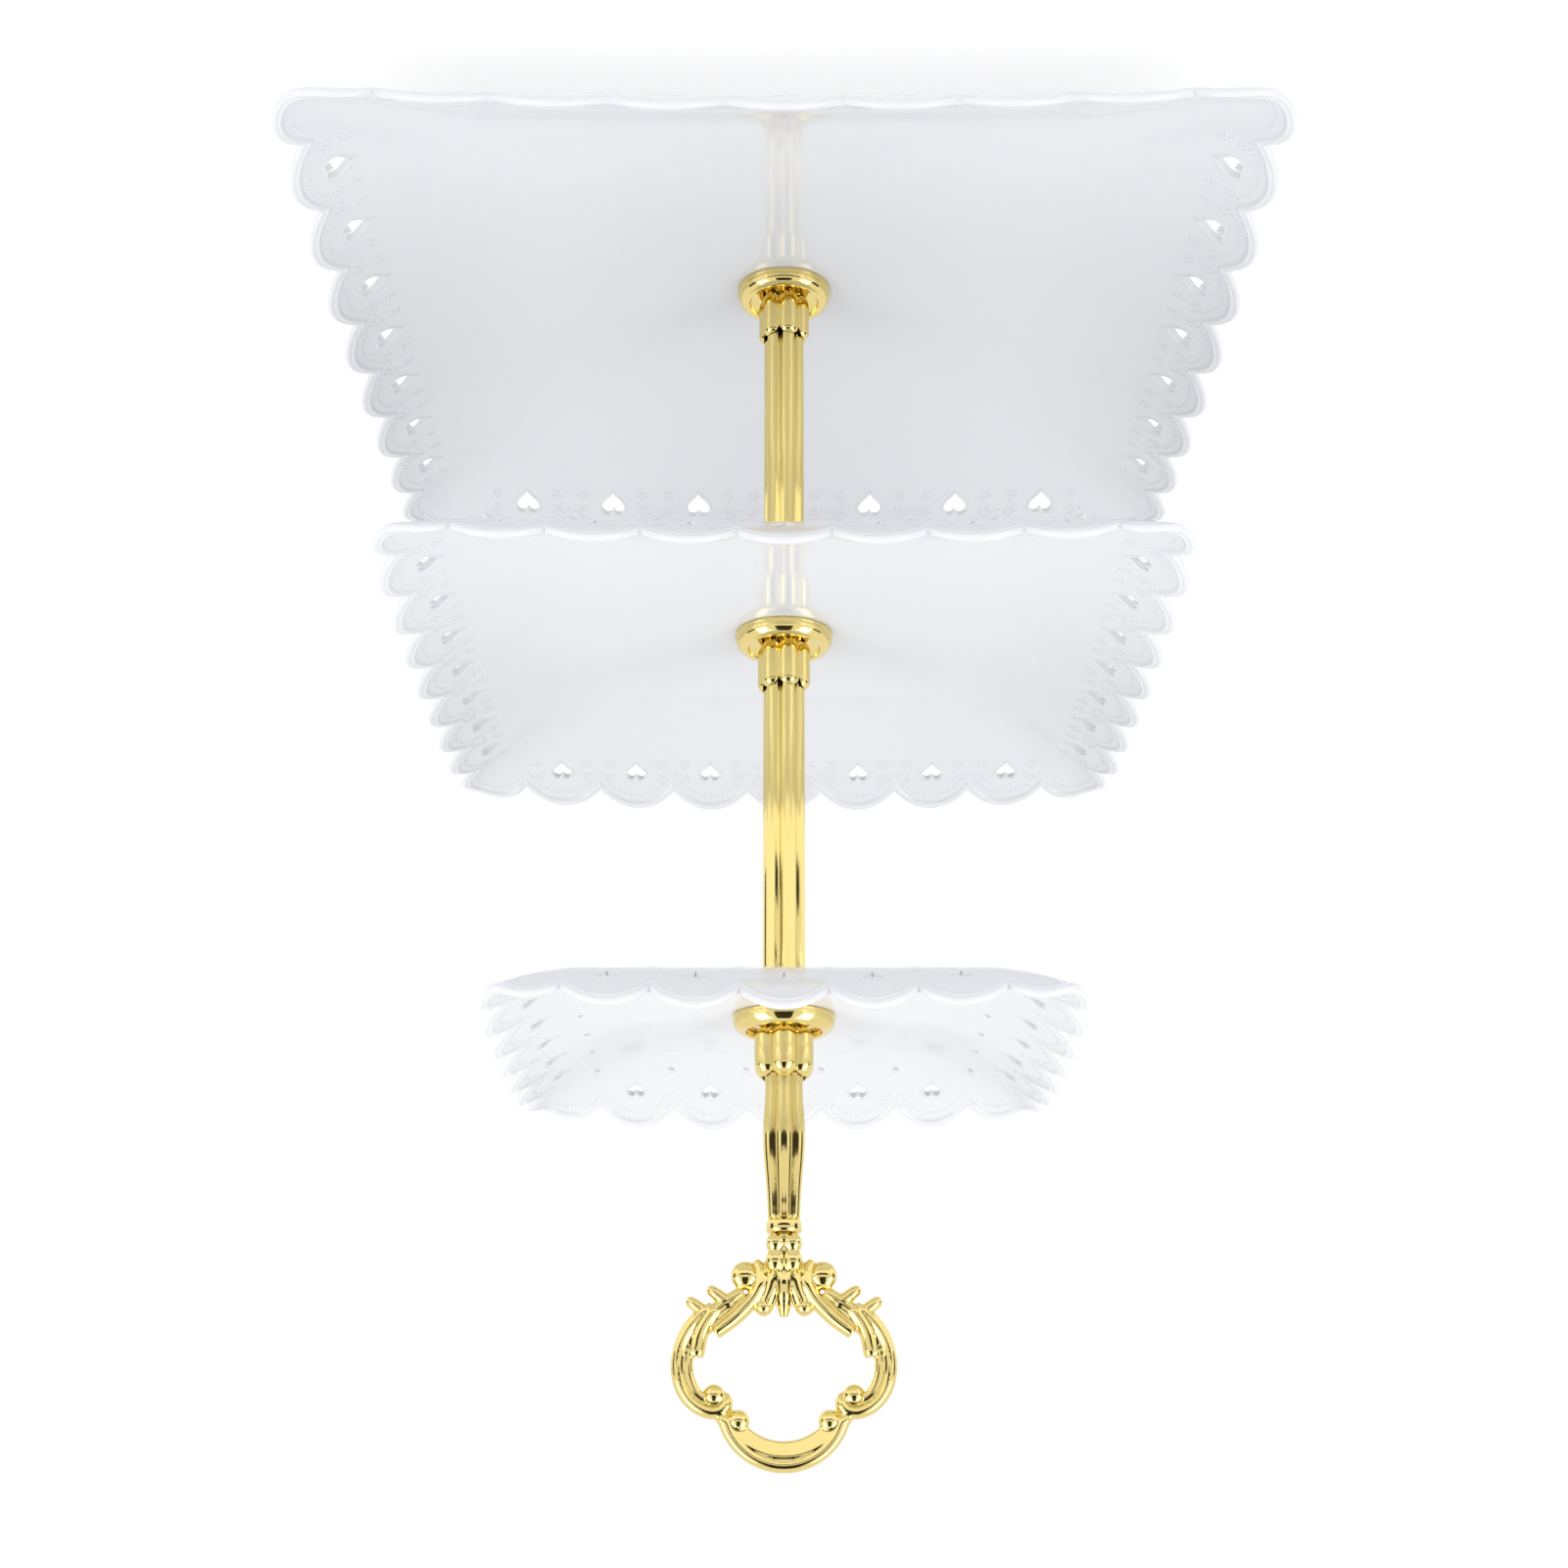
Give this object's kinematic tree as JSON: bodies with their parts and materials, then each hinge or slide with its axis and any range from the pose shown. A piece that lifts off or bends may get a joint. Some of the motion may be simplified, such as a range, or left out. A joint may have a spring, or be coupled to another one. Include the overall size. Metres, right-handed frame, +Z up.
{
  "type": "tiered cake stand",
  "caption": "Tiered cake stand: square scalloped trays with pierced heart borders on a fluted screw-together column with a scroll ring handle.",
  "frame": {"origin": "centre of the column at the foot ring's lower face", "axes": "+Z up along the column, X along the handle ring's plane, -Y towards the viewer"},
  "size_m": [0.3, 0.3, 0.4026],
  "materials": {
    "tray_plastic": "glossy white plastic",
    "gold": "polished gold plating on zinc alloy",
    "zinc_steel": "zinc-plated steel",
    "clear_seal": "soft translucent vinyl"
  },
  "bodies": {
    "base": {"bottom_tray": "tray_plastic", "base_seal": "clear_seal"},
    "lower_column": {"base_screw": "zinc_steel", "base_washer": "zinc_steel", "lower_flange": "gold", "lower_collar": "gold", "lower_rod": "gold", "lower_rod_base_insert": "zinc_steel", "lower_rod_top_insert": "zinc_steel", "middle_support_disc": "gold", "middle_stud": "zinc_steel", "middle_flange": "gold"},
    "middle_tier": {"middle_tray": "tray_plastic", "middle_seal": "clear_seal"},
    "upper_collar": {"middle_collar": "gold"},
    "upper_column": {"upper_rod": "gold", "upper_rod_base_insert": "zinc_steel", "upper_rod_top_insert": "zinc_steel", "top_support_disc": "gold", "top_flange": "gold"},
    "top_tier": {"top_tray": "tray_plastic", "top_seal": "clear_seal"},
    "handle_ferrule": {"handle_collar": "gold"},
    "handle": {"handle_stud": "zinc_steel", "handle_stem": "gold", "handle_ring": "gold"}
  },
  "joints": [
    {"name": "column_turn", "type": "hinge", "parent": "base", "child": "lower_column", "pos_m": [0, 0, 0.008], "axis": [0, 0, 1], "continuous": true},
    {"name": "middle_tray_turn", "type": "hinge", "parent": "lower_column", "child": "middle_tier", "pos_m": [0, 0, 0.1364], "axis": [0, 0, 1], "continuous": true},
    {"name": "upper_column_lift", "type": "slide", "parent": "lower_column", "child": "upper_collar", "axis": [0, 0, 1], "range_m": [0, 0.006]},
    {"name": "upper_column_unscrew", "type": "hinge", "parent": "upper_collar", "child": "upper_column", "pos_m": [0, 0, 0.1364], "axis": [0, 0, 1], "range_deg": [0, 2165]},
    {"name": "top_tray_turn", "type": "hinge", "parent": "upper_column", "child": "top_tier", "pos_m": [0, 0, 0.2648], "axis": [0, 0, 1], "continuous": true},
    {"name": "handle_lift", "type": "slide", "parent": "upper_column", "child": "handle_ferrule", "axis": [0, 0, 1], "range_m": [0, 0.006]},
    {"name": "handle_unscrew", "type": "hinge", "parent": "handle_ferrule", "child": "handle", "pos_m": [0, 0, 0.2648], "axis": [0, 0, 1], "range_deg": [0, 2165]}
  ],
  "couplings": [
    {"joint": "upper_column_unscrew", "follows": "upper_column_lift", "rad_per_m": 6283.2},
    {"joint": "handle_unscrew", "follows": "handle_lift", "rad_per_m": 6283.2}
  ]
}
